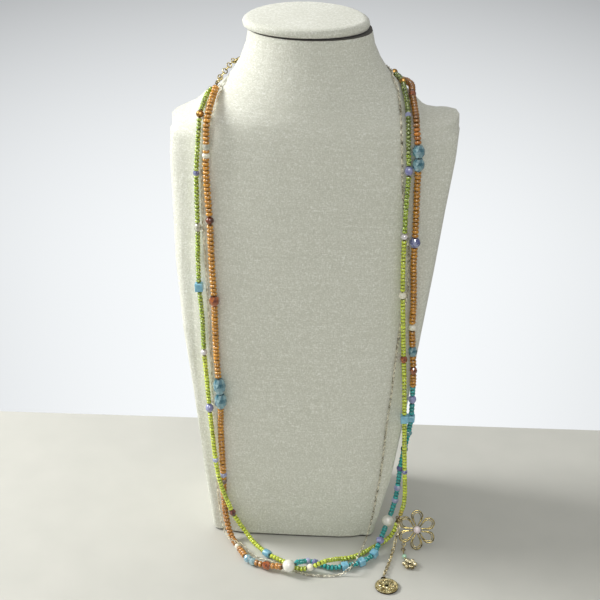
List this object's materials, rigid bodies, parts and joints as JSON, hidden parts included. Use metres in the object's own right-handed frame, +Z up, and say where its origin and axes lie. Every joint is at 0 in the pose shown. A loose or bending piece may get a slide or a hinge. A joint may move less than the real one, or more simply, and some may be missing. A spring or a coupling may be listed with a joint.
{
  "type": "belly chain on neck bust",
  "caption": "Long body chain of bead strings and a fine gold chain, with a wire flower, coin and charm, shown round a linen neck bust.",
  "frame": {"origin": "middle of the neck bust's flat underside, on the table", "axes": "+Z up, -Y towards the bust's chest side, +X to the viewer's right"},
  "size_m": [0.1546, 0.1279, 0.3012],
  "materials": {
    "amber_crystal": "faceted crystal, amber to dark brown",
    "blue_crystal": "faceted crystal, pale blue",
    "bronze": "bronze lustre coated glass",
    "brown_round": "dark brown glossy glass",
    "cats_eye": "satin fibre-optic glass, sky blue",
    "clear_crystal": "faceted clear crystal",
    "cream": "cream glossy glass bead, satin lustre",
    "gold": "polished gold-coloured plating",
    "lime_glass": "glossy and silver-lined glass seed beads, lime green",
    "linen": "woven linen cover, matt",
    "mint_glass": "mint green satin glass",
    "orange_glass": "opaque glossy glass seed beads, orange turning to teal",
    "pearl": "pearl lustre",
    "purple_crystal": "faceted crystal, lavender blue",
    "purple_glass": "satin lavender glass",
    "turquoise_crystal": "faceted crystal, clear turquoise"
  },
  "bodies": {
    "root": {"back_ring": "gold", "charm_chain": "gold", "clasp": "gold", "coin": "gold", "coin_chain": "gold", "extender_chain": "gold", "flower_charm": "gold", "flower_pearl": "pearl", "front_ring": "gold", "gold_chain_left": "gold", "gold_chain_right": "gold", "lime_string_left": "lime_glass", "lime_string_right": "lime_glass", "ll_barrel": "cats_eye", "ll_bronze_round": "bronze", "ll_brown_bicone": "amber_crystal", "ll_clear_crystal": "clear_crystal", "ll_cream_round": "cream", "ll_cube_large": "cats_eye", "ll_pearl_small": "pearl", "ll_purple_oval": "purple_glass", "lr_amber_small": "amber_crystal", "lr_cream_round": "cream", "lr_cube_large": "cats_eye", "lr_pearl_small": "pearl", "lr_purple_oval": "purple_glass", "mint_bead": "mint_glass", "neck_bust": "linen", "neck_cap": "linen", "ol_amber_dark": "amber_crystal", "ol_amber_faceted": "amber_crystal", "ol_blue_crystal": "blue_crystal", "ol_brown_round": "brown_round", "ol_cream_small": "cream", "ol_turquoise_large": "turquoise_crystal", "ol_turquoise_large_2": "turquoise_crystal", "or_amber_red": "amber_crystal", "or_brown_crystal": "amber_crystal", "or_cream_round": "cream", "or_cube": "cats_eye", "or_cube_2": "cats_eye", "or_cube_3": "cats_eye", "or_cube_4": "cats_eye", "or_pearl_large": "pearl", "or_pearl_large_2": "pearl", "or_purple_oval": "purple_glass", "or_purple_rondelle": "purple_crystal", "or_purple_star": "purple_crystal", "or_turquoise": "turquoise_crystal", "or_turquoise_2": "turquoise_crystal", "or_turquoise_small": "turquoise_crystal", "orange_string_left": "orange_glass", "orange_string_right": "orange_glass", "pendant_ring": "gold", "wire_flower": "gold"}
  },
  "joints": []
}
